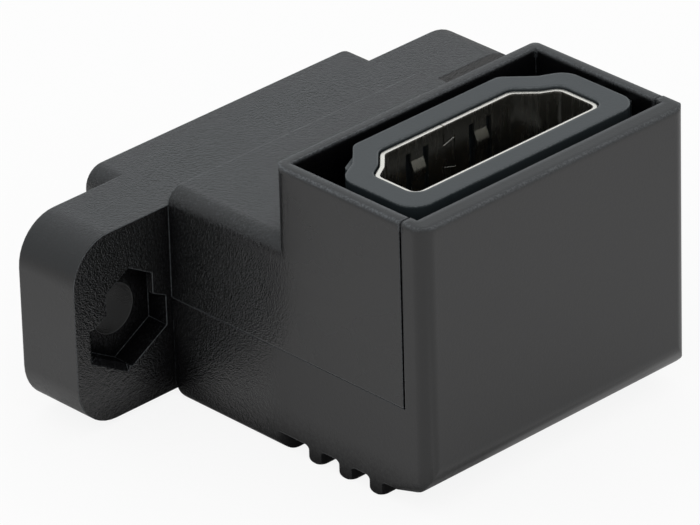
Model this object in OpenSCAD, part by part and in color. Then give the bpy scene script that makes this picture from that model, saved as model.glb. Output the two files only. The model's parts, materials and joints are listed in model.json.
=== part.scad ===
// Right-angle adapter for a panel: one socket looks up out of an open box, the other looks out
// through a flanged neck. The origin is midway between the two screw holes, on the face of the
// flange that meets the panel. +Y points through the panel and +Z the way the upward socket faces.

/* [Flange] */
// Width of the flange over both ears
flange_w = 35; // [33:0.1:44]
// Height of the flange
flange_h = 11.7; // [11:0.1:12.2]
// Thickness of the flange
flange_t = 4.5; // [3:0.1:6]
// Radius of the four corners of the flange
flange_r = 2.75; // [0.5:0.05:4]
// Distance between the two screw holes
hole_spacing = 26.8; // [26.6:0.1:29]
// Diameter of each screw hole
hole_d = 3; // [2.5:0.1:3.6]
// Width across the flats of each nut pocket
nut_af = 5.4; // [4.8:0.1:5.7]
// Depth of each nut pocket
nut_depth = 1.5; // [1:0.1:2.5]
// Width of the bevel on the outer sides of each nut pocket's mouth
nut_bevel = 0.35; // [0.1:0.05:0.4]
// How far the two nut-holding tabs reach in from the flats
tab_reach = 0.95; // [0.5:0.05:1.3]
// Height above the screw hole's axis at which the tabs begin
tab_rise = 0.8; // [0.4:0.05:1.3]
// Thickness of the tabs
tab_t = 0.45; // [0.3:0.05:0.8]

/* [Neck] */
// Width of the neck that passes through the panel
neck_w = 21.1; // [20.9:0.1:21.8]
// How far the neck stands out of the flange
neck_d = 2; // [1.4:0.1:4]
// Radius of the long corners of the neck
neck_r = 1.2; // [0.5:0.1:2.5]
// Thickness of the neck's end wall, which the socket passes through
neck_wall = 1.2; // [0.8:0.1:1.6]

/* [Body] */
// Width of the body and of the box
body_w = 20.5; // [19:0.1:20.8]
// Height of the body's top above the screw holes
body_top = 6.8; // [6.2:0.05:7.5]
// Depth of the body's underside below the screw holes
body_drop = 6.25; // [6.1:0.05:7]
// Radius of the body's long top corners
body_r = 1; // [0.3:0.1:2]
// Radius of the body's bottom edges
body_foot_r = 0.4; // [0.2:0.05:0.9]
// Thickness of the body's walls
body_wall = 1.2; // [0.9:0.05:1.4]

/* [Box] */
// Distance from the panel face of the flange to the front of the box
box_reach = 24.8; // [24.8:0.1:32]
// Depth of the box from front to back, at its top
box_d = 11.8; // [11.6:0.1:12.4]
// Height of the box's rim above the screw holes
box_top = 11.5; // [11.3:0.1:16]
// Depth of the box's underside below the screw holes
box_drop = 5.3; // [5:0.05:5.6]
// Thickness of the front wall
front_wall = 1.5; // [1.2:0.05:1.7]
// Thickness of the side walls of the box
side_wall = 0.75; // [0.6:0.05:0.85]
// Thickness of the rear wall of the box
rear_wall = 0.8; // [0.6:0.05:1.2]
// Thickness of the box's floor
box_floor = 1; // [0.7:0.05:1]
// Radius of the two upright front corners
front_r = 0.9; // [0.5:0.1:2]
// Radius of the two upright rear corners
rear_r = 1; // [0.2:0.05:1]
// Radius of the bottom front edge
front_foot_r = 2; // [0.5:0.1:2.4]
// Radius of the front's lower corners, seen from the front
front_corner_r = 1.7; // [0.8:0.1:2.4]
// Length over which those corners run out into the bottom edges
corner_run = 2.5; // [1:0.1:4]
// Radius of the outer edges of the rim
rim_r = 0.25; // [0.1:0.05:0.4]
// Lean of the rear wall away from upright, in degrees
rear_lean = 2.4; // [0:0.1:4]

/* [Cover] */
// Depth of the cover's wrapped front corners
cover_return = 1.7; // [1.7:0.05:3]
// How far the cover's front stands above the rim of the box
cover_proud = 0.05; // [0:0.01:0.2]
// Width of the open upright seam behind the front corners
seam_gap = 0.15; // [0.05:0.01:0.3]
// Width of the fine seam along the sides
seam_line = 0.04; // [0.02:0.01:0.1]
// Thickness of the lip that aligns the cover inside the housing
lip_t = 0.5; // [0.3:0.05:0.6]
// Height of the aligning lip above the seam
lip_h = 1; // [0.5:0.1:2]
// Side clearance of the lip
lip_gap = 0.08; // [0.02:0.01:0.15]
// Radius of the body's rear bottom edge
cover_heel_r = 1.2; // [0.3:0.1:1.5]

/* [Grip bars] */
// Distance from the front of the box to the step behind the bars
step_back = 10.75; // [10.4:0.05:11]
// Radius of the step's upright corners
step_r = 1.3; // [0.3:0.1:1.5]
// Number of bars under the box
bar_count = 3; // [1:1:3]
// Distance from one bar to the next
bar_pitch = 2.4; // [1.8:0.1:2.5]
// Width of each bar
bar_w = 1.3; // [0.8:0.05:1.5]
// Roundness of each bar's crest, as a share of half the bar's width
bar_round = 0.45; // [0.3:0.05:0.95]
// How much of each bar's round end the side of the box cuts off
bar_cut = 0.2; // [0.05:0.05:0.3]
// Radius of the hollow corners at the root of each bar
root_r = 0.25; // [0.1:0.05:0.3]

/* [Sockets] */
// Width of each socket's opening on its wide side
open_w = 14; // [13.8:0.05:14.2]
// Width of each socket's opening on its narrow side
open_narrow_w = 9.8; // [9.6:0.1:10]
// Height of each socket's opening
open_h = 4.55; // [4.5:0.05:4.7]
// Height of the upright ends of the opening
open_end_h = 2.87; // [2.7:0.01:3.1]
// How far each slanting side of the opening runs at 45 degrees
open_slant = 1.1; // [0.9:0.05:1.3]
// Radius of the corners of the opening
open_r = 0.5; // [0.3:0.05:0.8]
// Thickness of the folded metal shell
shell_t = 0.25; // [0.2:0.01:0.3]
// Length of the shell behind its rim
shell_len = 11.2; // [10.8:0.1:11.6]
// Depth of the socket's floor behind the rim
socket_depth = 9.3; // [8.6:0.1:9.8]
// Depth of the tongue's tip behind the rim
tip_depth = 2.6; // [1.5:0.1:3.2]
// Width of the tongue
tongue_w = 11.4; // [10.6:0.1:12]
// Thickness of the tongue
tongue_t = 1.1; // [0.9:0.05:1.3]
// Distance from the front of the box to the middle of the upward socket
socket_y = 6.1; // [6:0.05:6.2]
// How far the upward socket's rim lies below the rim of the box
rim_drop = 0.21; // [0.1:0.01:0.4]
// How far the panel socket's rim lies behind the face of the neck
rim_back = 0.05; // [0:0.05:0.5]
// Clearance between a shell and the window round it
window_gap = 0.1; // [0.05:0.01:0.14]
// Clearance between an insulator and the metal round it
insulator_gap = 0.03; // [0.01:0.01:0.06]

/* [Shell springs] */
// Distance of each latch spring from the middle of the shell
spring_x = 2.45; // [1.6:0.05:3]
// Width of each latch spring
spring_w = 0.95; // [0.6:0.05:1.2]
// Width of the slots beside each spring
slot_w = 0.4; // [0.2:0.05:0.5]
// Depth at which the slots begin behind the rim
slot_start = 0.72; // [0.6:0.02:1]
// Length of the slots
slot_len = 6; // [4:0.1:7]
// Depth of the top of each spring's bump behind the rim
bump_depth = 1.9; // [1.6:0.05:2.4]
// Length of each spring's bump
bump_len = 1.25; // [0.8:0.05:1.4]
// How far each bump stands into the opening
bump_h = 0.25; // [0.1:0.05:0.25]
// Width of the cut where the folded shell closes
fold_gap = 0.06; // [0.04:0.01:0.1]
// How far the closing cut lies to the side of the middle
fold_x = 0.4; // [0.3:0.05:0.6]
// Depth at which the dovetail of the closing cut begins
dovetail_start = 0.95; // [0.9:0.05:2]
// Length of the dovetail
dovetail_len = 1.85; // [1.2:0.05:2.4]
// How far the dovetail reaches across the closing cut
dovetail_w = 0.85; // [0.4:0.05:1]
// How much each side of the dovetail widens towards its end
dovetail_flare = 0.25; // [0.1:0.05:0.4]

/* [Contacts] */
// Distance between neighbouring contacts of a row
contact_pitch = 1; // [0.95:0.01:1.05]
// Number of contacts on the wide side of the tongue
wide_count = 10; // [2:1:10]
// Number of contacts on the narrow side of the tongue
narrow_count = 9; // [1:1:9]
// Width of each contact
contact_w = 0.34; // [0.26:0.02:0.4]
// Thickness of the contact strip
contact_t = 0.2; // [0.12:0.02:0.24]
// How far a contact stands out of the tongue's face
contact_proud = 0.04; // [0.02:0.01:0.06]
// Side clearance of a contact in its groove
contact_gap = 0.03; // [0.01:0.01:0.05]
// Distance of the contacts' ends behind the tongue's tip
contact_back = 0.5; // [0.3:0.1:1]
// Length of each soldered foot
foot_len = 0.9; // [0.6:0.05:1]
// Inside radius of the contacts' bends
bend_r = 0.25; // [0.15:0.05:0.4]
// Height of the insulator's underside above the upward contacts' feet
base_lift = 0.3; // [0.1:0.05:0.6]
// Thickness of the panel insulator's block behind its shell
back_t = 1.3; // [0.8:0.1:1.6]

/* [Board] */
// Thickness of the circuit board
board_t = 1; // [0.8:0.05:1.05]
// Width of the board's border outside its slots for the shells' legs
board_rim = 0.5; // [0.3:0.05:0.9]
// Gap between the panel socket's shell and the board
board_gap = 0.03; // [0:0.01:0.1]
// Distance from the front of the box to the board's front edge
board_front = 2; // [1.6:0.1:2.6]
// Distance from the panel face of the flange to the board's rear edge
board_back = 1.2; // [0.8:0.1:1.8]
// Radius of the two posts that locate the board
post_r = 0.6; // [0.4:0.05:0.7]
// Distance from the box's rear wall to the two posts
post_back = 0.6; // [0:0.1:0.9]
// Clearance of the board's holes round posts and legs
board_hole_gap = 0.08; // [0.04:0.01:0.12]
// Distance of each locating post from the middle
post_x = 6.2; // [5:0.1:6.6]

/* [Shell legs] */
// Width of each leg of the shells
leg_w = 1.1; // [0.8:0.05:1.3]
// How far the legs reach out of the board's far side
leg_out = 0.25; // [0.1:0.05:0.3]
// Distance of the upward shell's front legs from its middle
top_leg_x = 5.2; // [4:0.1:5.6]
// How far the upward shell's end legs lie in front of its middle
top_leg_y = 0.6; // [0.4:0.05:0.9]
// Distance of the panel shell's outer legs behind its rim
leg_near = 4.4; // [4:0.1:5.4]
// Distance of the panel shell's inner legs behind its rim
leg_far = 9.8; // [8:0.1:10.4]

/* [Collar] */
// Gap between the collar's ends and the side walls of the box
collar_gap = 0.75; // [0.4:0.05:1]
// Width of the collar's narrow rear side
collar_narrow_w = 11.2; // [10.8:0.1:11.6]
// Thickness of the collar in front of the socket
collar_front = 1.62; // [1.4:0.02:1.7]
// Thickness of the collar behind the socket
collar_rear = 1.76; // [1.5:0.02:1.9]
// Radius of the collar's front corners
collar_r = 1.3; // [0.6:0.1:1.6]
// Radius of the collar's rear corners
collar_rear_r = 0.7; // [0.3:0.1:1]
// How far the collar's slanting rear sides run at 45 degrees
collar_slant = 1.55; // [1.3:0.05:1.7]
// Distance of the collar's shoulders from its rear
shoulder_back = 2.35; // [2:0.05:2.6]
// How far the small ledges reach behind the hollows above the shoulders
ledge_w = 0.45; // [0.2:0.05:0.5]
// Distance of the ledges' ends from the ends of the collar
ledge_in = 1.25; // [1:0.05:1.5]
// Depth of those ledges below the collar's top
ledge_drop = 0.25; // [0.1:0.05:0.8]
// How far the collar's top lies below the rim of the box
collar_drop = 0.05; // [0:0.01:0.1]
// Width of the ribs that centre the collar in the box
rib_w = 0.6; // [0.4:0.05:1]
// Depth of the side ribs below the collar's top
rib_drop = 0.6; // [0.4:0.1:3]
// Depth of the front and rear ribs below the collar's top
low_rib_drop = 1.8; // [1:0.1:3]
// Clearance between the centring ribs and the walls
rib_gap = 0.05; // [0.02:0.01:0.1]

/* [Hidden] */
arc_steps = 6;
eps = 0.01;
over = 1;
$fn = 64;

// Places in the housing.
box_y0 = -box_reach;
box_y1 = box_y0 + box_d;
seam_y = box_y0 + cover_return;
step_y = box_y0 + step_back;
well_y0 = box_y0 + front_wall;
well_y1 = box_y1 - rear_wall;
well_w = body_w - 2 * side_wall;
cavity_w = body_w - 2 * body_wall;
collar_w = well_w - 2 * collar_gap;
board_w = open_w + 2 * (shell_t + board_hole_gap + board_rim);
cavity_roof = body_top - body_wall;
cavity_floor = box_floor - box_drop;
collar_top = box_top - collar_drop;
collar_end = open_h / 2 + collar_rear;
collar_hollow = [collar_narrow_w / 2 + collar_slant, collar_end - collar_slant];
rib_x = open_narrow_w / 2 - 2 * rib_w;
body_floor = body_wall - body_drop;

// Places of the sockets and of the board.
top_y = box_y0 + socket_y;
top_rim_z = box_top - rim_drop;
panel_rim_y = neck_d - rim_back;
board_top = -open_h / 2 - shell_t - board_gap;
board_bottom = board_top - board_t;
board_y0 = box_y0 + board_front;
board_y1 = -board_back;
post_y = box_y1 - post_back;
leg_tip_z = board_bottom - leg_out;
wall_mid = open_h / 2 + shell_t / 2;
end_mid = open_w / 2 + shell_t / 2;

// Places of the contacts, measured from the rim of their socket.
contact_mid = tongue_t / 2 + contact_proud - contact_t / 2;
contact_start = tip_depth + contact_back;
top_drop = top_rim_z - board_top;
tail_depth = shell_len + back_t + bend_r + contact_t;

// Helpers for outlines, whose points run anticlockwise.
function unit(v) = v / norm(v);
function turned(v, angle) = [v.x * cos(angle) - v.y * sin(angle), v.x * sin(angle) + v.y * cos(angle)];
function left_of(v) = [-v.y, v.x];
function turn_between(a, b) = atan2(a.x * b.y - a.y * b.x, a * b);

// An arc of more than 1 mm radius gets more steps, so that it stays as smooth.
function steps_for(radius) = max(arc_steps, ceil(arc_steps * sqrt(radius)));

// One corner of an outline, as an arc of the given radius.
function corner_arc(before, corner, after, radius) =
    let (
        a = unit(corner - before),
        b = unit(after - corner),
        turn = turn_between(a, b),
        start = corner - a * radius * tan(abs(turn) / 2),
        centre = start + left_of(a) * radius * sign(turn),
        steps = steps_for(radius)
    )
    radius == 0
        ? [corner]
        : [for (k = [0 : steps]) centre + turned(start - centre, turn * k / steps)];

// An outline with every corner rounded to its own radius.
function rounded(points, radii) =
    let (n = len(points))
    [
        for (i = [0 : n - 1])
            each corner_arc(points[(i + n - 1) % n], points[i], points[(i + 1) % n], radii[i])
    ];

// A corner moved d to the right of the two edges, with directions a and b, that meet in it.
function mitred(corner, a, b, d) = corner - d * (left_of(a) + left_of(b)) / (1 + a * b);

// An outline grown outward by d.
function grown(points, d) =
    let (n = len(points))
    [
        for (i = [0 : n - 1])
            let (before = points[(i + n - 1) % n], after = points[(i + 1) % n])
            mitred(points[i], unit(points[i] - before), unit(after - points[i]), d)
    ];

// The line that runs d to the right of a path.
function beside(path, d) =
    let (n = len(path))
    [
        for (i = [0 : n - 1])
            let (k = max(i, 1), m = min(i, n - 2))
            mitred(path[i], unit(path[k] - path[k - 1]), unit(path[m + 1] - path[m]), d)
    ];

// The outline of a strip of thickness t along a path, with bends of middle radius r.
function strip(path, t, r) =
    let (
        n = len(path),
        bent = [
            path[0],
            for (i = [1 : n - 2]) each corner_arc(path[i - 1], path[i], path[i + 1], r),
            path[n - 1]
        ],
        left = beside(bent, -t / 2)
    )
    concat(beside(bent, t / 2), [for (i = [len(left) - 1 : -1 : 0]) left[i]]);

// The right half of an outline, made whole, and its radii.
function mirrored(half) = concat(half, [for (i = [len(half) - 1 : -1 : 0]) [-half[i].x, half[i].y]]);
function doubled(radii) = concat(radii, [for (i = [len(radii) - 1 : -1 : 0]) radii[i]]);

// Outline of a socket's opening, grown by an amount: wide side at -Y, stepped ends.
module opening_outline(grow) {
    half = [
        [open_w / 2, -open_h / 2],
        [open_w / 2, open_end_h - open_h / 2],
        [open_narrow_w / 2 + open_slant, open_h / 2 - open_slant],
        [open_narrow_w / 2, open_h / 2]
    ];
    convex = open_r + grow;
    hollow = max(open_r - grow, 0);
    polygon(rounded(grown(mirrored(half), grow), doubled([convex, convex, hollow, convex])));
}

// Outline of the collar round the upward socket, which follows the opening's stepped ends.
module collar_outline() {
    half = [
        [collar_w / 2, -open_h / 2 - collar_front],
        [collar_w / 2, collar_end - shoulder_back],
        collar_hollow,
        [collar_narrow_w / 2, collar_end]
    ];
    polygon(rounded(mirrored(half), doubled([collar_r, collar_r, collar_rear_r, collar_rear_r])));
}

// Outline of the ledge in the hollow between the collar's shoulder and its slanting side.
module ledge_outline() {
    inner = collar_hollow.x - 3 * ledge_w;
    outer = collar_w / 2 - ledge_in;
    polygon(rounded(
        [
            [inner, collar_hollow.y - ledge_w],
            [outer, collar_hollow.y - ledge_w],
            [outer, collar_hollow.y + ledge_w - (outer - collar_hollow.x) / 2],
            [inner, collar_hollow.y + 5 / 2 * ledge_w]
        ],
        [0, 0, ledge_w / 2, 0]
    ));
}

// A rectangle between its low corner a and high corner b, rounded at each corner in turn.
module panel_outline(a, b, radii) {
    polygon(rounded([a, [b.x, a.y], b, [a.x, b.y]], radii));
}

// A rectangle in the middle with four equal corners.
module even_outline(width, height, radius) {
    panel_outline([-width / 2, -height / 2], [width / 2, height / 2], [for (i = [1 : 4]) radius]);
}

// A block between its low and its high corner.
module block(a, b) {
    translate(a) cube(b - a);
}

// A slab from y0 to y1 with its outline drawn in XZ.
module along_y(y0, y1) {
    translate([0, y1, 0]) rotate([90, 0, 0]) linear_extrude(y1 - y0) children();
}

// A slab from x0 to x1 with its outline drawn in YZ.
module along_x(x0, x1) {
    translate([x0, 0, 0]) rotate([90, 0, 90]) linear_extrude(x1 - x0) children();
}

module both_sides() {
    children();
    mirror([1, 0, 0]) children();
}

// A socket is drawn with its rim at zero, looking up, wide side towards -Y.
module at_top_socket() {
    translate([0, top_y, top_rim_z]) children();
}

module at_panel_socket() {
    translate([0, panel_rim_y, 0]) rotate([-90, 0, 0]) children();
}

// The box's outline from above and from the side, up to a rim of the given height.
module box_form(rim_z) {
    lean = (box_top + box_drop) * tan(rear_lean);
    intersection() {
        translate([0, 0, -box_drop]) linear_extrude(rim_z + box_drop)
            panel_outline(
                [-body_w / 2, box_y0], [body_w / 2, box_y1], [front_r, front_r, rear_r, rear_r]
            );
        along_x(-body_w, body_w)
            polygon(rounded(
                [[box_y0, -box_drop], [box_y1 - lean, -box_drop], [box_y1, rim_z], [box_y0, rim_z]],
                [front_foot_r, 0, rim_r, rim_r]
            ));
        along_y(box_y0 - over, box_y1 + over)
            panel_outline([-body_w / 2, -box_drop - over], [body_w / 2, rim_z], [0, 0, rim_r, rim_r]);
    }
}

// The body's outline from behind and from the side.
module body_form() {
    intersection() {
        along_y(step_y, -flange_t)
            panel_outline(
                [-body_w / 2, -body_drop],
                [body_w / 2, body_top],
                [body_foot_r, body_foot_r, body_r, body_r]
            );
        along_x(-body_w, body_w)
            panel_outline(
                [step_y, -body_drop],
                [-flange_t, body_top],
                [body_foot_r, cover_heel_r, 0, 0]
            );
    }
}

// A nut pocket that opens towards -Y, with its screw hole and two bevelled sides.
module nut_pocket() {
    rotate([-90, 0, 0]) {
        rotate([0, 0, 30]) cylinder(h = nut_depth, d = nut_af / cos(30), $fn = 6);
        cylinder(h = flange_t + eps, d = hole_d);
    }
    corner = nut_af * tan(30) / 2;
    short = nut_bevel / 2;
    translate([nut_af / 2, 0, 0]) bevel_knife(-corner - short, tab_rise);
    rotate([0, 60, 0]) translate([nut_af / 2, 0, 0]) bevel_knife(short - corner, corner + short);
}

// What cuts the bevel along one side of the pocket, from z0 to z1.
module bevel_knife(z0, z1) {
    translate([0, 0, z0]) linear_extrude(z1 - z0)
        polygon([[-nut_bevel, -nut_bevel], [2 * nut_bevel, -nut_bevel], [-nut_bevel, 2 * nut_bevel]]);
}

// The tab that covers the upper corner of a nut pocket on its +X side.
module nut_tab() {
    flat = nut_af / 2;
    along_y(0, tab_t)
        polygon([
            [flat, tab_rise - tab_reach / 2],
            [flat + 2 * nut_bevel, tab_rise - tab_reach / 2],
            [flat + 2 * nut_bevel, nut_af],
            [flat - tab_reach, nut_af],
            [flat - tab_reach, tab_rise]
        ]);
}

module upper_housing() {
    color([0.12, 0.12, 0.13])
    difference() {
        union() {
            along_y(-flange_t, 0)
                even_outline(flange_w, flange_h, flange_r);
            along_y(-eps, neck_d)
                even_outline(neck_w, flange_h, neck_r);
            intersection() {
                body_form();
                block([-body_w, min(well_y1, box_y1 - rear_r), seam_line], [body_w, 0, body_top + over]);
            }
            intersection() {
                box_form(box_top);
                block([-body_w, seam_y + seam_gap, seam_line], [body_w, 0, box_top]);
            }
        }
        block([-well_w / 2, box_y0, -eps], [well_w / 2, well_y1, box_top + over]);
        block(
            [-cavity_w / 2, well_y1 - eps, cavity_floor],
            [cavity_w / 2, neck_d - neck_wall, cavity_roof]
        );
        at_panel_socket() translate([0, 0, -neck_wall - over]) linear_extrude(neck_wall + 2 * over)
            opening_outline(shell_t + window_gap);
        both_sides() translate([hole_spacing / 2, -flange_t, 0]) difference() {
            nut_pocket();
            both_sides() nut_tab();
        }
    }
}

// The box seen from the front, with its lower corners rounded.
module foot_outline(radius) {
    panel_outline([-body_w / 2, -box_drop], [body_w / 2, box_top + over], [radius, radius, 0, 0]);
}

// The front's lower corners are round, and run out into the plain bottom edges.
module cover_corners() {
    hull() {
        along_y(box_y0, box_y0 + eps)
            foot_outline(front_corner_r);
        along_y(box_y0 + corner_run, box_y1)
            foot_outline(0);
    }
}

// One bar under the box, with round ends, a round crest and soft roots.
module grip_bar() {
    half_w = bar_w / 2;
    crest_r = min(bar_round * half_w, body_drop - box_drop - root_r - eps);
    half = [
        [half_w, -body_drop],
        [half_w, -box_drop],
        [half_w + 2 * root_r, -box_drop],
        [half_w + 2 * root_r, root_r - box_drop]
    ];
    radii = [crest_r, root_r, 0, 0];
    end_x = body_w / 2 - half_w + bar_cut;
    along_x(-end_x, end_x)
        polygon(rounded(mirrored(half), doubled(radii)));
    both_sides() translate([end_x, 0, 0]) rotate([0, 0, -90]) rotate_extrude(angle = 180)
        polygon(rounded(
            concat([[0, -body_drop]], half, [[0, root_r - box_drop]]),
            concat([0], radii, [0])
        ));
}

// All bars, cut off at the sides of the box.
module grip_bars() {
    intersection() {
        block([-body_w / 2, box_y0, -body_drop], [body_w / 2, step_y, root_r - box_drop]);
        for (i = [1 : bar_count])
            translate([0, step_y + bar_w / 2 - bar_pitch * i, 0]) grip_bar();
    }
}

// The step behind the bars, seen from above, and the plain underside of the box over it.
module step_form() {
    translate([0, 0, -body_drop - over]) linear_extrude(body_drop - box_drop + over)
        panel_outline([-body_w / 2, step_y], [body_w / 2, 0], [step_r, step_r, 0, 0]);
    block([-body_w, step_y, -box_drop], [body_w, 0, 0]);
}

// Lips that stand up inside the housing's side walls.
module cover_lip() {
    outer = cavity_w / 2 - lip_gap;
    block([outer - lip_t, box_y1, -lip_h], [outer, -flange_t - lip_h, lip_h]);
    block([outer - lip_t, box_y1, -lip_h], [cavity_w / 2 + eps, -flange_t - lip_h, -seam_line]);
}

// A post through the board with a shoulder under it, and the ledges that carry its corners.
module board_rest() {
    translate([post_x, post_y, body_floor - eps]) {
        cylinder(h = board_bottom - body_floor + eps, r = 2 * post_r);
        cylinder(h = board_top - body_floor + post_r, r = post_r);
    }
    ledge = board_w / 2 - post_r;
    block(
        [ledge, board_y0 + post_r, cavity_floor - eps],
        [well_w / 2 + eps, board_y0 + 3 * post_r, board_bottom]
    );
    block(
        [ledge, -flange_t - body_wall - 2 * post_r, body_floor - eps],
        [cavity_w / 2 + eps, -flange_t - body_wall + eps, board_bottom]
    );
}

module lower_cover() {
    color([0.13, 0.13, 0.14]) {
        difference() {
            union() {
                intersection() {
                    box_form(box_top + cover_proud);
                    cover_corners();
                    union() {
                        block([-body_w, box_y0, -box_drop], [body_w, seam_y, box_top + over]);
                        block([-body_w, box_y0, -box_drop], [body_w, 0, 0]);
                    }
                }
                intersection() {
                    body_form();
                    step_form();
                    block([-body_w, step_y, -body_drop], [body_w, -flange_t - seam_line, 0]);
                }
                grip_bars();
            }
            block([-well_w / 2, well_y0, cavity_floor], [well_w / 2, well_y1, box_top + over]);
            block([-cavity_w / 2, well_y1 - eps, cavity_floor], [cavity_w / 2, 0, box_top]);
            block(
                [-cavity_w / 2, step_y + body_wall, body_floor],
                [cavity_w / 2, -flange_t - body_wall, 0]
            );
        }
        both_sides() {
            cover_lip();
            board_rest();
        }
    }
}

// A rib that centres the collar between the walls of the box, its top at a depth below the collar's.
module centring_rib(a, b, depth) {
    block([a.x, a.y, board_top], [b.x, b.y, collar_top - depth]);
}

module socket_collar() {
    front = top_y - open_h / 2 - collar_front;
    rear = top_y + collar_end;
    color([0.30, 0.32, 0.33])
    difference() {
        union() {
            translate([0, top_y, board_top]) {
                linear_extrude(collar_top - board_top) collar_outline();
                both_sides() linear_extrude(collar_top - ledge_drop - board_top) ledge_outline();
            }
            both_sides() {
                for (y = [front + collar_r, rear - shoulder_back - collar_r - rib_w])
                    centring_rib([collar_w / 2 - eps, y], [well_w / 2 - rib_gap, y + rib_w], rib_drop);
                centring_rib(
                    [open_w / 2 - rib_w, well_y0 + rib_gap], [open_w / 2, front + eps], low_rib_drop
                );
                centring_rib([rib_x, rear - eps], [rib_x + rib_w, well_y1 - rib_gap], low_rib_drop);
            }
        }
        translate([0, top_y, board_top - over]) linear_extrude(box_top - board_top + 2 * over)
            opening_outline(shell_t + window_gap);
    }
}

// A latch spring in the shell's wall at +Y: its bump stands into the opening.
module latch_spring() {
    root = -slot_start;
    tip = -slot_start - slot_len + slot_w;
    translate([spring_x, 0, 0]) along_x(-spring_w / 2, spring_w / 2)
        polygon(strip(
            [
                [wall_mid, root + eps],
                [wall_mid, -bump_depth + bump_len / 2],
                [wall_mid - bump_h, -bump_depth],
                [wall_mid - bump_h / 4, -bump_depth - bump_len / 2],
                [wall_mid, tip]
            ],
            shell_t, shell_t
        ));
}

// The line along which the folded sheet meets itself, locked by a dovetail.
module closing_cut() {
    neck_z = -dovetail_start - dovetail_flare;
    path = [
        [-fold_x, over],
        [-fold_x, neck_z],
        [dovetail_w - fold_x, -dovetail_start],
        [dovetail_w - fold_x, -dovetail_start - dovetail_len],
        [-fold_x, neck_z - dovetail_len + 2 * dovetail_flare],
        [-fold_x, -shell_len - over]
    ];
    along_y(open_h / 2 - shell_t, open_h / 2 + 2 * shell_t)
        polygon(strip(path, fold_gap, 0));
}

// The folded tube of a shell, with springs in its wide and its narrow wall.
module shell_tube() {
    window_w = spring_w + 2 * slot_w;
    difference() {
        translate([0, 0, -shell_len]) linear_extrude(shell_len) opening_outline(shell_t);
        translate([0, 0, -shell_len - over]) linear_extrude(shell_len + 2 * over) opening_outline(0);
        both_sides() for (wall = [0, 1]) mirror([0, wall, 0])
            block(
                [spring_x - window_w / 2, open_h / 2 - shell_t, -slot_start - slot_len],
                [spring_x + window_w / 2, open_h / 2 + 2 * shell_t, -slot_start]
            );
        closing_cut();
    }
    both_sides() for (wall = [0, 1]) mirror([0, wall, 0]) latch_spring();
}

module top_shell() {
    tip = leg_tip_z - top_rim_z;
    color([0.72, 0.70, 0.64])
    at_top_socket() {
        shell_tube();
        both_sides() {
            block(
                [open_w / 2, -top_leg_y - leg_w / 2, tip],
                [open_w / 2 + shell_t, -top_leg_y + leg_w / 2, eps - shell_len]
            );
            block(
                [top_leg_x - leg_w / 2, -open_h / 2 - shell_t, tip],
                [top_leg_x + leg_w / 2, -open_h / 2, eps - shell_len]
            );
        }
    }
}

module panel_shell() {
    color([0.72, 0.70, 0.64])
    at_panel_socket() {
        shell_tube();
        both_sides() for (depth = [leg_near, leg_far])
            block(
                [open_w / 2, -top_leg_y, -depth - leg_w / 2],
                [open_w / 2 + shell_t, -leg_tip_z, -depth + leg_w / 2]
            );
    }
}

// Where contact i of a socket stands across the tongue, and on which face: -1 is the wide side.
function is_wide(i) = i <= wide_count;
function row_index(i) = is_wide(i) ? i - 1 : i - 1 - wide_count;
function row_count(i) = is_wide(i) ? wide_count : narrow_count;
function contact_x(i) = (row_index(i) - (row_count(i) - 1) / 2) * contact_pitch;
function contact_side(i) = is_wide(i) ? -1 : 1;

// The grooves and passages for all contacts of a socket, down to the given depth.
module contact_grooves(depth) {
    near = contact_mid - contact_t / 2 - contact_gap;
    far = contact_mid + contact_t / 2 + contact_gap;
    half = contact_w / 2 + contact_gap;
    for (i = [1 : wide_count + narrow_count])
        translate([contact_x(i), 0, 0])
            mirror([0, is_wide(i) ? 1 : 0, 0])
                block([-half, near, -depth], [half, far, contact_gap - contact_start]);
}

// The tongue, and the block that closes the shell behind it.
module tongue_block(depth) {
    translate([0, 0, -depth]) linear_extrude(depth - socket_depth) opening_outline(-insulator_gap);
    block([-tongue_w / 2, -tongue_t / 2, -socket_depth - eps], [tongue_w / 2, tongue_t / 2, -tip_depth]);
}

module top_insulator() {
    base = top_drop - contact_t - base_lift;
    color([0.06, 0.06, 0.06])
    at_top_socket() difference() {
        union() {
            tongue_block(base);
            both_sides() block(
                [tongue_w / 2, -top_leg_y - leg_w, -top_drop],
                [open_w / 2 - insulator_gap - open_r, -top_leg_y + leg_w, eps - base]
            );
        }
        contact_grooves(top_drop);
    }
}

module panel_insulator() {
    color([0.06, 0.06, 0.06])
    at_panel_socket() difference() {
        union() {
            tongue_block(shell_len + insulator_gap);
            block(
                [-open_w / 2, contact_t - open_h / 2, -shell_len - back_t],
                [open_w / 2, -board_top, -shell_len - insulator_gap]
            );
        }
        contact_grooves(shell_len + back_t + over);
    }
}

// A contact lies on the tongue, passes through the block and ends in a foot on the board.
module contact(i, path) {
    color([0.85, 0.70, 0.35])
    translate([contact_x(i), 0, 0]) along_x(-contact_w / 2, contact_w / 2)
        polygon(strip(path, contact_t, bend_r + contact_t / 2));
}

module top_contact(i) {
    mid = contact_side(i) * contact_mid;
    foot = -top_drop + contact_t / 2;
    at_top_socket() contact(i, [
        [mid, -contact_start],
        [mid, foot],
        [mid + contact_side(i) * (foot_len + bend_r), foot]
    ]);
}

module panel_contact(i) {
    mid = contact_side(i) * contact_mid;
    foot = -board_top - contact_t / 2;
    at_panel_socket() contact(i, [
        [mid, -contact_start],
        [mid, -tail_depth],
        [foot, -tail_depth],
        [foot, -tail_depth - foot_len - bend_r]
    ]);
}

// A slot in the board for a leg whose middle and size in X and Y are given.
module leg_slot(middle, size) {
    half = size / 2 + [board_hole_gap, board_hole_gap];
    block(
        [middle.x - half.x, middle.y - half.y, board_bottom - over],
        [middle.x + half.x, middle.y + half.y, board_top + over]
    );
}

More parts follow.
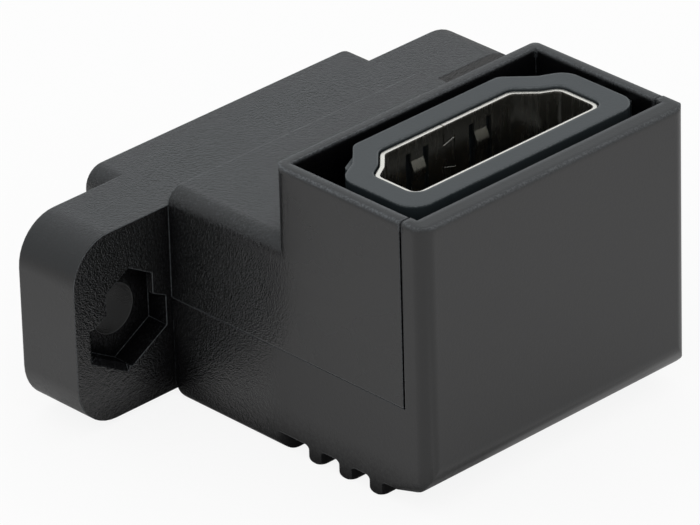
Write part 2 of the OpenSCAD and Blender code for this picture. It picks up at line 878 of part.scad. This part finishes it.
module circuit_board() {
    color([0.05, 0.28, 0.14])
    difference() {
        block([-board_w / 2, board_y0, board_bottom], [board_w / 2, board_y1, board_top]);
        both_sides() {
            leg_slot([end_mid, top_y - top_leg_y], [shell_t, leg_w]);
            leg_slot([top_leg_x, top_y - wall_mid], [leg_w, shell_t]);
            for (depth = [leg_near, leg_far])
                leg_slot([end_mid, panel_rim_y - depth], [shell_t, leg_w]);
            translate([post_x, post_y, board_bottom - over])
                cylinder(h = board_t + 2 * over, r = post_r + board_hole_gap);
        }
    }
}

upper_housing();
lower_cover();
socket_collar();
circuit_board();
top_shell();
top_insulator();
panel_shell();
panel_insulator();
for (i = [1 : wide_count + narrow_count]) {
    top_contact(i);
    panel_contact(i);
}
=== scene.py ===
import json
import math

import bmesh
import bpy
from mathutils import Matrix, Vector


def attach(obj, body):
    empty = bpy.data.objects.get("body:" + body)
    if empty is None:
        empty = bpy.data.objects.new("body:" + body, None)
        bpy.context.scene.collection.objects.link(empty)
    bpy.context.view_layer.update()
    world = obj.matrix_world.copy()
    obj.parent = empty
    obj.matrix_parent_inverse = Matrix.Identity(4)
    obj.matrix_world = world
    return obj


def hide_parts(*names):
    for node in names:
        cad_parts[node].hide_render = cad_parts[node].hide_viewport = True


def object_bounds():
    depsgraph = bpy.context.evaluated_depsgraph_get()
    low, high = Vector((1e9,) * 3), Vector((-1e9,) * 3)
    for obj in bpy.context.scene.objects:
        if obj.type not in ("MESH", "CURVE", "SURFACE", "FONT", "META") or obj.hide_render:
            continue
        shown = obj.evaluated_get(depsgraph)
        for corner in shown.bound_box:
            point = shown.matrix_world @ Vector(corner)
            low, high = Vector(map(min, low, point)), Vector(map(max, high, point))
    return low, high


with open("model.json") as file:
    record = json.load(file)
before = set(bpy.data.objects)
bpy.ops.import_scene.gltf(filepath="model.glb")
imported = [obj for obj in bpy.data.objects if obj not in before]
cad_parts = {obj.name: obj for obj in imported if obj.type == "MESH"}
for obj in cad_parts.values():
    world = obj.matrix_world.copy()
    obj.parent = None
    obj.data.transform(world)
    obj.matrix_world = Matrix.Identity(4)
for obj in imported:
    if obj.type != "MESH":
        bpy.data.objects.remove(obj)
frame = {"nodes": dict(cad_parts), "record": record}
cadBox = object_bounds()
nodes = frame["nodes"]
scene = bpy.context.scene
mm = 0.001  # all sizes below are in millimetres and turned to metres with this

# driving sizes: the part's box, its screw holes and the rims of its two sockets
low, high = (Vector(corner) / mm for corner in cadBox)
mounts = {mount["name"]: mount for mount in frame["record"]["mounts"]}
screws = mounts["flange_screws"]["dims"]
topSocket, panelSocket = (Vector(mounts[name]["pos_m"]) / mm for name in ("top_socket", "panel_socket"))
print("frame loaded with", len(nodes), "nodes")


# Adds a shader node with its settings and inputs; an input that is given as a socket gets linked.
def addNode(owner, kind, inputs=None, **settings):
    tree = owner.node_tree
    node = tree.nodes.new(kind)
    for key, value in settings.items():
        setattr(node, key, value)
    for key, value in (inputs or {}).items():
        if isinstance(value, bpy.types.NodeSocket):
            tree.links.new(value, node.inputs[key])
        else:
            node.inputs[key].default_value = value
    return node


# Turns an sRGB hex colour into the linear one that the shader wants.
def hexColour(code):
    channels = [int(code[i:i + 2], 16) / 255 for i in (1, 3, 5)]
    return tuple(c / 12.92 if c <= 0.04045 else ((c + 0.055) / 1.055) ** 2.4 for c in channels) + (1.0,)


# A new material without any nodes.
def newMaterial(name):
    material = bpy.data.materials.new(name)
    material.use_nodes = True
    material.node_tree.nodes.clear()
    return material


# The share of grain on a moulding: all of it behind the box, where the mould was spark eroded, and
# little on the box and on the ends of the ears, where it was polished.
def grainShare(material, look, split, aside, normal):
    endFrom, endFull = look["endTurn"]
    behindBox = addNode(material, "ShaderNodeMapRange", {
        "Value": split["Y"],
        "From Min": (look["grainFrom"] - look["grainBlend"]) * mm,
        "From Max": (look["grainFrom"] + look["grainBlend"]) * mm,
        "To Min": look["smoothShare"], "To Max": 1.0})
    sideways = addNode(material, "ShaderNodeMath", {0: normal["X"]}, operation="ABSOLUTE")
    endFace = addNode(material, "ShaderNodeMapRange", {
        "Value": sideways.outputs["Value"], "From Min": endFrom, "From Max": endFull})
    onEar = addNode(material, "ShaderNodeMath", {0: aside, 1: look["earFrom"] * mm},
                    operation="GREATER_THAN")
    polished = addNode(material, "ShaderNodeMath", {
        0: endFace.outputs["Result"], 1: onEar.outputs["Value"]}, operation="MULTIPLY")
    textured = addNode(material, "ShaderNodeMapRange", {
        "Value": polished.outputs["Value"],
        "To Min": behindBox.outputs["Result"], "To Max": look["smoothShare"]})
    return textured.outputs["Result"]


# How strongly the skin mirrors the room: less in the deep corners on the left, a painted shade found by
# ambient occlusion. The grain frays the border.
def shineWithPaintedShade(material, look, split, grain, clear):
    shaded, full = look["shade"]
    middle = look["crumble"] / 2  # what the grain adds in the middle of its range
    cornerShade = addNode(material, "ShaderNodeMapRange", {
        "Value": split["X"],
        "From Min": look["shadeTo"] * mm, "From Max": (look["shadeTo"] + look["shadeBlend"]) * mm,
        "To Min": look["specular"] * look["shadeLeft"], "To Max": look["specular"]})
    crumbled = addNode(material, "ShaderNodeMath", {0: grain, 1: look["crumble"], 2: clear},
                       operation="MULTIPLY_ADD")
    shine = addNode(material, "ShaderNodeMapRange", {
        "Value": crumbled.outputs["Value"], "From Min": shaded + middle, "From Max": full + middle,
        "To Min": cornerShade.outputs["Result"], "To Max": look["specular"]})
    return shine.outputs["Result"]


# Where the colour turns paler: on edges and on the rim as a painted highlight, and in the grain's specks as
# a painted sparkle.
def paleEdgesAndHighlights(material, look, split, rounded, normal, specks, clear, textured):
    edgeFrom, edgeFull = look["edgeBend"]
    steep, leaning, flatter, level = look["rimBand"]
    breakFrom, breakFull = look["breakNoise"]
    speckFrom, speckFull = look["speckNoise"]
    shaded, full = look["openShade"]

    # edges: a painted highlight where the rounded normal leaves the flat one
    flat = addNode(material, "ShaderNodeNewGeometry")
    along = addNode(material, "ShaderNodeVectorMath", {0: rounded, 1: flat.outputs["Normal"]},
                    operation="DOT_PRODUCT")
    edge = addNode(material, "ShaderNodeMapRange", {
        "Value": along.outputs["Value"], "From Min": edgeFrom, "From Max": edgeFull})

    # rim: a painted highlight line where its rounding begins, broken up unevenly
    above = addNode(material, "ShaderNodeMath", {0: split["Z"], 1: look["rimFrom"] * mm},
                    operation="GREATER_THAN")
    offWall = addNode(material, "ShaderNodeMapRange", {
        "Value": normal["Z"], "From Min": steep, "From Max": leaning})
    offTop = addNode(material, "ShaderNodeMapRange", {
        "Value": normal["Z"], "From Min": level, "From Max": flatter})
    turned = addNode(material, "ShaderNodeMath", {
        0: offWall.outputs["Result"], 1: offTop.outputs["Result"]}, operation="MULTIPLY")
    rim = addNode(material, "ShaderNodeMath", {0: above.outputs["Value"], 1: turned.outputs["Value"]},
                  operation="MULTIPLY")
    edgeAndRim = addNode(material, "ShaderNodeMath", {0: edge.outputs["Result"], 1: rim.outputs["Value"]},
                      operation="MAXIMUM")
    spots = addNode(material, "ShaderNodeMapRange", {
        "Value": specks, "From Min": breakFrom, "From Max": breakFull, "To Min": look["breakLeast"]})
    brokenLines = addNode(material, "ShaderNodeMath", {0: edgeAndRim.outputs["Value"], 1: spots.outputs["Result"]},
                   operation="MULTIPLY")

    # grain: pale specks as a painted sparkle, left out of the deep corners where shade falls
    speckled = addNode(material, "ShaderNodeMapRange", {
        "Value": specks, "From Min": speckFrom, "From Max": speckFull, "To Max": look["sparkleShare"]})
    lit = addNode(material, "ShaderNodeMapRange", {"Value": clear, "From Min": shaded, "From Max": full})
    outside = addNode(material, "ShaderNodeMath", {0: lit.outputs["Result"], 1: textured},
                      operation="MULTIPLY")
    sparkle = addNode(material, "ShaderNodeMath", {
        0: speckled.outputs["Result"], 1: outside.outputs["Value"]}, operation="MULTIPLY")
    marks = addNode(material, "ShaderNodeMath", {0: brokenLines.outputs["Value"], 1: sparkle.outputs["Value"]},
                    operation="MAXIMUM")
    return marks.outputs["Value"]


# Where a point lies in the bore of one of the two screw holes: 1 there and 0 elsewhere.
def inScrewHole(material, look, split, aside):
    across = addNode(material, "ShaderNodeMath", {0: aside, 1: look["holeAt"] * mm}, operation="SUBTRACT")
    fromAxis = addNode(material, "ShaderNodeCombineXYZ", {"X": across.outputs["Value"], "Y": split["Z"]})
    distance = addNode(material, "ShaderNodeVectorMath", {0: fromAxis.outputs["Vector"]},
                       operation="LENGTH")
    bore = addNode(material, "ShaderNodeMath", {
        0: distance.outputs["Value"], 1: look["holeRadius"] * mm, 2: look["holeMargin"] * mm},
        operation="COMPARE")
    return bore.outputs["Value"]


# Moulded plastic: pigment under a clear skin. On a black one nearly all that the eye gets is the soft
# mirror of the room. Spark-eroded zones of the mould leave a grain, polished zones a satin skin.
def mouldedPlastic(name, look):
    material = newMaterial(name)
    place = addNode(material, "ShaderNodeTexCoord").outputs["Object"]
    split = addNode(material, "ShaderNodeSeparateXYZ", {"Vector": place}).outputs
    aside = addNode(material, "ShaderNodeMath", {0: split["X"]}, operation="ABSOLUTE").outputs["Value"]

    # edges are broken a little everywhere, and rounded more at the rim
    roundness = addNode(material, "ShaderNodeMapRange", {
        "Value": split["Z"],
        "From Min": (look["rimFrom"] - look["rimBlend"]) * mm, "From Max": look["rimFrom"] * mm,
        "To Min": look["edgeRadius"] * mm, "To Max": look["rimRadius"] * mm})
    rounded = addNode(material, "ShaderNodeBevel", {"Radius": roundness.outputs["Result"]},
                      samples=look["samples"]).outputs["Normal"]
    normal = addNode(material, "ShaderNodeSeparateXYZ", {"Vector": rounded}).outputs
    # painted shade: ambient occlusion dims the gloss and hides the specks in deep corners
    clear = addNode(material, "ShaderNodeAmbientOcclusion", {"Distance": look["shadeReach"] * mm},
                    samples=look["samples"]).outputs["AO"]

    # noise at each pattern's real size, with its detail and roughness
    patches, grain, fine, specks = (
        addNode(material, "ShaderNodeTexNoise", {
            "Vector": place, "Scale": 1 / (look[size] * mm), "Detail": detail, "Roughness": roughness,
        }).outputs["Fac"]
        for size, detail, roughness in (
            ("patchSize", 3.0, 0.5), ("grainSize", 2.0, 0.6),
            ("fineSize", 1.0, 0.5), ("speckSize", 1.0, 0.5)))

    textured = grainShare(material, look, split, aside, normal)
    marks = paleEdgesAndHighlights(material, look, split, rounded, normal, specks, clear, textured)
    tint = addNode(material, "ShaderNodeMix", {
        "Factor": patches, "A": hexColour(look["dark"]), "B": hexColour(look["light"])}, data_type="RGBA")
    # the painted highlight and sparkle turn the colour paler
    marked = addNode(material, "ShaderNodeMix", {
        "Factor": marks, "A": tint.outputs["Result"], "B": hexColour(look["edgeColour"])}, data_type="RGBA")
    # painted light: the screw holes' bores are drawn paler
    colour = addNode(material, "ShaderNodeMix", {
        "Factor": inScrewHole(material, look, split, aside),
        "A": marked.outputs["Result"], "B": hexColour(look["paintedBoreLight"])}, data_type="RGBA")

    # the grain's facets are glossy one by one, the polished zones satin
    finish = addNode(material, "ShaderNodeMapRange", {
        "Value": textured, "From Min": look["smoothShare"],
        "To Min": look["roughness"], "To Max": look["grainRoughness"]})
    patchFrom, patchTo = look["patchNoise"]
    uneven = addNode(material, "ShaderNodeMapRange", {
        "Value": patches, "From Min": patchFrom, "From Max": patchTo,
        "To Min": -look["roughSwing"], "To Max": look["roughSwing"]})
    rough = addNode(material, "ShaderNodeMath", {0: finish.outputs["Result"], 1: uneven.outputs["Result"]},
                    operation="ADD")
    relief = addNode(material, "ShaderNodeMath", {0: grain, 1: fine}, operation="ADD")
    bump = addNode(material, "ShaderNodeBump", {
        "Height": relief.outputs["Value"], "Strength": textured,
        "Distance": look["grainDepth"] * mm, "Normal": rounded})

    shader = addNode(material, "ShaderNodeBsdfPrincipled", {
        "IOR": look["ior"], "Specular IOR Level": shineWithPaintedShade(material, look, split, grain, clear),
        "Base Color": colour.outputs["Result"], "Roughness": rough.outputs["Value"],
        "Normal": bump.outputs["Normal"]})
    addNode(material, "ShaderNodeOutputMaterial", {"Surface": shader.outputs["BSDF"]})
    return material


# Plated sheet metal: a mirror dulled by rolling, with fine streaks along it and ends drawn bright as a
# painted highlight.
def platedSheet(name, look):
    material = newMaterial(name)
    place = addNode(material, "ShaderNodeTexCoord").outputs["Object"]
    split = addNode(material, "ShaderNodeSeparateXYZ", {"Vector": place}).outputs
    rounded = addNode(material, "ShaderNodeBevel", {"Radius": look["edgeRadius"] * mm},
                      samples=look["samples"])
    stretched = addNode(material, "ShaderNodeMapping", {"Vector": place, "Scale": look["stretch"]})
    streaks = addNode(material, "ShaderNodeTexNoise", {
        "Vector": stretched.outputs["Vector"], "Scale": 1 / (look["streakSize"] * mm), "Detail": 4.0})
    patches = addNode(material, "ShaderNodeTexNoise", {
        "Vector": place, "Scale": 1 / (look["patchSize"] * mm), "Detail": 2.0})
    tint = addNode(material, "ShaderNodeMix", {
        "Factor": patches.outputs["Fac"], "A": hexColour(look["dark"]), "B": hexColour(look["light"])},
        data_type="RGBA")

    # painted highlight: the end of the sheet is drawn bright; its faces are dulled by rolling
    upwards = addNode(material, "ShaderNodeMath", {0: split["Z"], 1: look["topRimFrom"] * mm},
                      operation="GREATER_THAN")
    backwards = addNode(material, "ShaderNodeMath", {0: split["Y"], 1: look["panelRimFrom"] * mm},
                        operation="GREATER_THAN")
    rimHighlight = addNode(material, "ShaderNodeMath", {
        0: upwards.outputs["Value"], 1: backwards.outputs["Value"]}, operation="MAXIMUM")
    colour = addNode(material, "ShaderNodeMix", {
        "Factor": rimHighlight.outputs["Value"], "A": tint.outputs["Result"], "B": hexColour(look["bright"])},
        data_type="RGBA")

    streakFrom, streakTo = look["streakNoise"]
    rough = addNode(material, "ShaderNodeMapRange", {
        "Value": streaks.outputs["Fac"], "From Min": streakFrom, "From Max": streakTo,
        "To Min": look["roughness"] - look["roughSwing"], "To Max": look["roughness"] + look["roughSwing"]})
    bump = addNode(material, "ShaderNodeBump", {
        "Height": streaks.outputs["Fac"], "Distance": look["streakDepth"] * mm,
        "Normal": rounded.outputs["Normal"]})
    shader = addNode(material, "ShaderNodeBsdfPrincipled", {
        "Metallic": 1.0, "Base Color": colour.outputs["Result"], "Roughness": rough.outputs["Result"],
        "Normal": bump.outputs["Normal"]})
    addNode(material, "ShaderNodeOutputMaterial", {"Surface": shader.outputs["BSDF"]})
    return material


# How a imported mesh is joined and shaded.
skinShape = {
    "joinWithin": 0.0001,  # corners this close are one
    "faceWithin": 0.01,  # corners this close to a moved face belong to it
    "crease": 28,  # degrees: faces that meet at less shade as one round
    "flatWeight": 90,  # keeps the large faces flat beside small roundings
}


# The node's own shape as a piece of the scene: its faces are joined, so that rounded corners shade as
# one. A moved face is given as the y it has and the y it gets.
def skinOf(node, name, material, movedFace=None):
    mesh = nodes[node].data.copy()
    if movedFace:
        yBefore, yAfter = movedFace
        for vertex in mesh.vertices:
            if abs(vertex.co.y - yBefore * mm) < skinShape["faceWithin"] * mm:
                vertex.co.y = yAfter * mm
    form = bmesh.new()
    form.from_mesh(mesh)
    bmesh.ops.remove_doubles(form, verts=form.verts, dist=skinShape["joinWithin"] * mm)
    bmesh.ops.dissolve_degenerate(form, edges=form.edges, dist=skinShape["joinWithin"] * mm)
    for edge in form.edges:
        edge.smooth = edge.is_manifold and edge.calc_face_angle(0) < math.radians(skinShape["crease"])
    for face in form.faces:
        face.smooth = True
    form.to_mesh(mesh)
    form.free()
    mesh.materials.clear()
    mesh.materials.append(material)
    piece = bpy.data.objects.new(name, mesh)
    scene.collection.objects.link(piece)
    weigh = piece.modifiers.new("Large faces stay flat", "WEIGHTED_NORMAL")
    weigh.keep_sharp = True
    weigh.weight = skinShape["flatWeight"]
    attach(piece, "root")
    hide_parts(node)
    return piece


nowhere = 50.0  # a place beyond the part, for zones that a piece doesn't have

# Housing: moulded black PC/ABS. The eye gets a leathery grain on the flange, the neck and the body,
# and a smooth satin box. Shares run from 0 to 1; a pair or a row of values is a fade between them.
housingLook = {
    "dark": "#060607", "light": "#0b0b0c",  # the pigment's two tones, in patches
    "edgeColour": "#4e5154",  # painted highlight on edges and painted sparkle in specks
    "ior": 1.52, "specular": 0.5, "roughness": 0.28, "grainRoughness": 0.17,  # polished and grained faces
    "roughSwing": 0.03, "patchSize": 6.0, "patchNoise": (0.3, 0.7),  # how the gloss wanders
    "grainSize": 0.2, "grainDepth": 0.05,  # a medium spark-eroded grain
    "fineSize": 0.08,  # the finest pits, drawn coarser than the real 0.03 so that they show
    "grainFrom": topSocket.y + 5.7, "grainBlend": 1.5,  # the grain begins behind the box
    "smoothShare": 0.12,  # of the grain, left on the polished faces
    "earFrom": high.x - 5.5, "endTurn": (0.3, 0.8),  # the ears' polished ends, by the normal's x
    "shadeReach": 4.2, "shade": (0.52, 0.84), "crumble": 0.22,  # painted shade in deep corners, and its frayed border
    "shadeLeft": 0.1, "shadeTo": low.x + 11.5, "shadeBlend": 4.0,  # the gloss the painted shade leaves them, left of here
    "edgeRadius": 0.12, "edgeBend": (0.995, 0.8),  # painted edge highlight, by the cosine of the edge's bend
    "rimFrom": high.z - 0.55, "rimBlend": 0.1, "rimRadius": 0.45,  # the box's rim is rounder
    "rimBand": (0.25, 0.75, 0.9, 0.99),  # the rim's painted highlight line, by the normal's z
    "breakNoise": (0.4, 0.62), "breakLeast": 0.3,  # how unevenly the painted edge highlight is broken up
    "speckSize": 0.11, "speckNoise": (0.52, 0.75), "sparkleShare": 0.25,  # painted sparkle in the grain
    "openShade": (0.45, 0.8),  # how open to light a place has to be to show the painted sparkle
    "holeAt": screws["spacing_x_mm"] / 2, "holeRadius": screws["hole_r_mm"], "holeMargin": 0.05,
    "paintedBoreLight": "#3c3c3c",  # painted light: the bores of the screw holes are drawn paler, as if lit inside
    "samples": 8,  # rays for each rounded edge and deep corner
}
housingPlastic = mouldedPlastic("MouldedBlackPcAbsGrained", housingLook)
skinOf("upper_housing", "housingSkin", housingPlastic)

# Cover: the same plastic from a smoother mould, a little duller and with a softer painted highlight on its
# edges.
coverLook = dict(housingLook, grainFrom=topSocket.y + 6.7, roughness=0.33, edgeColour="#46484a")
coverPlastic = mouldedPlastic("MouldedBlackPcAbsSatin", coverLook)
frontWall = {"packed": 1.5, "seen": 1.2}  # its inner face is set back to show the gap round the collar
skinOf("lower_cover", "coverSkin", coverPlastic,
       movedFace=(low.y + frontWall["packed"], low.y + frontWall["seen"]))

# Collar: moulded blue-grey nylon. The eye gets a plain satin grey, clearly lighter than the housing.
collarLook = dict(housingLook, dark="#23292c", light="#292f32", edgeColour="#5d6264", grainFrom=nowhere,
                  rimFrom=nowhere, smoothShare=0.15, roughness=0.38, edgeRadius=0.25, patchSize=5.0)
collarPlastic = mouldedPlastic("MouldedGreyNylonSatin", collarLook)
skinOf("socket_collar", "collarSkin", collarPlastic)

# Shells: nickel-plated sheet steel. The eye gets a warm grey mirror and a bright line at the rim, a painted
# highlight.
shellLook = {
    "dark": "#a5a39b", "light": "#bbb9b2", "bright": "#f4efe6", "patchSize": 2.5,
    "roughness": 0.26, "roughSwing": 0.03, "streakNoise": (0.3, 0.7),
    "streakSize": 0.25, "streakDepth": 0.0008,  # rolling marks, drawn coarser than the real 0.03
    "stretch": (1.0, 1.0, 0.12),  # draws the streaks out in z
    "topRimFrom": topSocket.z - 0.14, "panelRimFrom": panelSocket.y - 0.15,  # the ends drawn with the painted highlight
    "edgeRadius": 0.08, "samples": 6,
}
shellSteel = platedSheet("NickelPlatedSheetSteel", shellLook)
skinOf("top_shell", "topShellSkin", shellSteel)
skinOf("panel_shell", "panelShellSkin", shellSteel)
print("housing, cover, collar and shells made")

# Insulators: moulded liquid crystal polymer. The eye gets a dull near-black.
insulatorLook = dict(housingLook, dark="#0c0c0c", light="#121212", edgeColour="#2a2a2a", grainFrom=nowhere,
                     rimFrom=nowhere, smoothShare=0.2, roughness=0.5, edgeRadius=0.05)
insulatorPlastic = mouldedPlastic("MouldedLiquidCrystalPolymer", insulatorLook)

# Board: solder mask on glass epoxy. The eye gets a glossy dark green with paler cut edges.
boardLook = dict(housingLook, dark="#0f3d22", light="#14492a", edgeColour="#5f6b3f", grainFrom=nowhere,
                 rimFrom=nowhere, smoothShare=0.1, roughness=0.3, edgeRadius=0.05)
boardResin = mouldedPlastic("SolderMaskOnGlassEpoxy", boardLook)

# Contacts: gold-plated phosphor bronze. The eye gets a soft yellow mirror.
contactLook = dict(shellLook, dark="#b08d48", light="#d8b566", topRimFrom=nowhere, panelRimFrom=nowhere,
                   roughness=0.25, edgeRadius=0.03)
contactGold = platedSheet("GoldPlatedPhosphorBronze", contactLook)

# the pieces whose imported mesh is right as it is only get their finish
finishes = {
    "top_insulator": insulatorPlastic, "panel_insulator": insulatorPlastic, "circuit_board": boardResin,
}
for nodeName, node in nodes.items():
    finish = contactGold if "_contact_" in nodeName else finishes.get(nodeName)
    if not finish:
        continue
    if not node.material_slots:
        node.data.materials.append(finish)
    for slot in node.material_slots:
        slot.material = finish
print("insulators, board and contacts finished")

# Camera, found by matching the photograph's corners, edges and outline to the part.
view = {
    "azimuth": -43.389, "elevation": 28.429, "roll": -1.665,  # degrees
    "target": (-6.216, -14.802, 4.438), "distance": 401.514,
    "lensPixels": 7296.283, "pictureWidth": 700,  # both in the photograph's pixels
    "sensor": 36, "nearest": 10, "farthest": 20000,  # what lies between the last two is drawn
}
az, el, roll = (math.radians(view[k]) for k in ("azimuth", "elevation", "roll"))
back = Vector((math.sin(az) * math.cos(el), -math.cos(az) * math.cos(el), math.sin(el)))
level = Vector((math.cos(az), math.sin(az), 0))
upright = back.cross(level)
right = level * math.cos(roll) + upright * math.sin(roll)
up = upright * math.cos(roll) - level * math.sin(roll)
camera = bpy.data.objects.new("camera", bpy.data.cameras.new("camera"))
camera.data.sensor_width = view["sensor"]
camera.data.lens = view["lensPixels"] / view["pictureWidth"] * view["sensor"]
camera.data.clip_start = view["nearest"] * mm
camera.data.clip_end = view["farthest"] * mm
camera.matrix_world = Matrix((right, up, back)).transposed().to_4x4()
camera.matrix_world.translation = (Vector(view["target"]) + back * view["distance"]) * mm
scene.collection.objects.link(camera)
scene.camera = camera
print("camera set")

# Floor: matt white paper. The eye gets plain white with the object's soft shadow on it.
floorLook = {
    "size": 2000.0, "colour": "#fdfdfd",
    "shown": 0.9, "mirrored": 0.25,  # the share of plain white that the camera and mirrors get; in mirrors it is a painted glow that lifts the shadow off the paper
    "fades": (  # painted shade in reflections: in mirrors the paper is drawn greyer away from the object, where the tent ends
        {"way": (-0.7, 0.7, 0.0), "from": 5.0, "to": 75.0, "grey": 0.3},  # to the camera's left
        {"way": (0.7, 0.7, 0.0), "from": 15.0, "to": 40.0, "grey": 0.75},  # away from the camera
    ),
}
floorPaper = newMaterial("MattWhitePaper")
ray = addNode(floorPaper, "ShaderNodeLightPath").outputs
spot = addNode(floorPaper, "ShaderNodeTexCoord").outputs["Object"]
greys = []
for fade in floorLook["fades"]:
    reach = addNode(floorPaper, "ShaderNodeVectorMath", {0: spot, 1: fade["way"]}, operation="DOT_PRODUCT")
    greys.append(addNode(floorPaper, "ShaderNodeMapRange", {
        "Value": reach.outputs["Value"], "From Min": fade["from"] * mm, "From Max": fade["to"] * mm,
        "To Max": fade["grey"]}).outputs["Result"])
greyer = addNode(floorPaper, "ShaderNodeMath", {0: greys[0], 1: greys[1]}, operation="MAXIMUM")
share = addNode(floorPaper, "ShaderNodeMath", {0: greyer.outputs["Value"], 1: ray["Is Glossy Ray"]},
                operation="MULTIPLY")
tone = addNode(floorPaper, "ShaderNodeMix", {
    "Factor": share.outputs["Value"], "A": hexColour(floorLook["colour"]), "B": (0, 0, 0, 1)},
    data_type="RGBA")
paper = addNode(floorPaper, "ShaderNodeBsdfDiffuse", {"Color": tone.outputs["Result"]})
white = addNode(floorPaper, "ShaderNodeEmission", {"Color": tone.outputs["Result"], "Strength": 1.0})
# painted light in reflections: mirrors see part of the paper as a glow
mirrored = addNode(floorPaper, "ShaderNodeMath", {0: ray["Is Glossy Ray"], 1: floorLook["mirrored"]},
                   operation="MULTIPLY")
seen = addNode(floorPaper, "ShaderNodeMath", {
    0: ray["Is Camera Ray"], 1: floorLook["shown"], 2: mirrored.outputs["Value"]}, operation="MULTIPLY_ADD")
mixed = addNode(floorPaper, "ShaderNodeMixShader", {
    0: seen.outputs["Value"], 1: paper.outputs["BSDF"], 2: white.outputs["Emission"]})
addNode(floorPaper, "ShaderNodeOutputMaterial", {"Surface": mixed.outputs["Shader"]})

half = floorLook["size"] / 2
corners = [Vector((x * half, y * half, low.z)) * mm for x, y in ((-1, -1), (1, -1), (1, 1), (-1, 1))]
floorMesh = bpy.data.meshes.new("floor")
floorMesh.from_pydata(corners, [], [(0, 1, 2, 3)])
floorMesh.materials.append(floorPaper)
floor = bpy.data.objects.new("floor", floorMesh)
scene.collection.objects.link(floor)
print("floor laid")

# Room: a white tent that is the only light. What the camera sees of it is white. What mirrors see is
# a little cooler, and dimmer near the ground.
roomLook = {
    "lights": 1.0,  # what falls on matt faces
    "mirrored": "#f3f8fb", "low": 0.8, "high": 1.0,  # what mirrors see, near the ground and above
    "lowTo": 0.2, "highFrom": 0.8,  # by how far up a direction points
}
world = bpy.data.worlds.new("tent")
scene.world = world
world.use_nodes = True
world.node_tree.nodes.clear()
ray = addNode(world, "ShaderNodeLightPath").outputs
generated = addNode(world, "ShaderNodeTexCoord").outputs["Generated"]
heading = addNode(world, "ShaderNodeSeparateXYZ", {"Vector": generated}).outputs
tent = addNode(world, "ShaderNodeMapRange", {
    "Value": heading["Z"], "From Min": roomLook["lowTo"], "From Max": roomLook["highFrom"],
    "To Min": roomLook["low"], "To Max": roomLook["high"]})
lit = addNode(world, "ShaderNodeMix", {
    "Factor": ray["Is Glossy Ray"], "A": roomLook["lights"], "B": tent.outputs["Result"]})
strength = addNode(world, "ShaderNodeMix", {
    "Factor": ray["Is Camera Ray"], "A": lit.outputs["Result"], "B": 1.0})
colour = addNode(world, "ShaderNodeMix", {
    "Factor": ray["Is Glossy Ray"], "A": (1, 1, 1, 1), "B": hexColour(roomLook["mirrored"])},
    data_type="RGBA")
sky = addNode(world, "ShaderNodeBackground", {
    "Color": colour.outputs["Result"], "Strength": strength.outputs["Result"]})
addNode(world, "ShaderNodeOutputWorld", {"Surface": sky.outputs["Background"]})

scene.view_settings.view_transform = "Standard"
print("room lit")
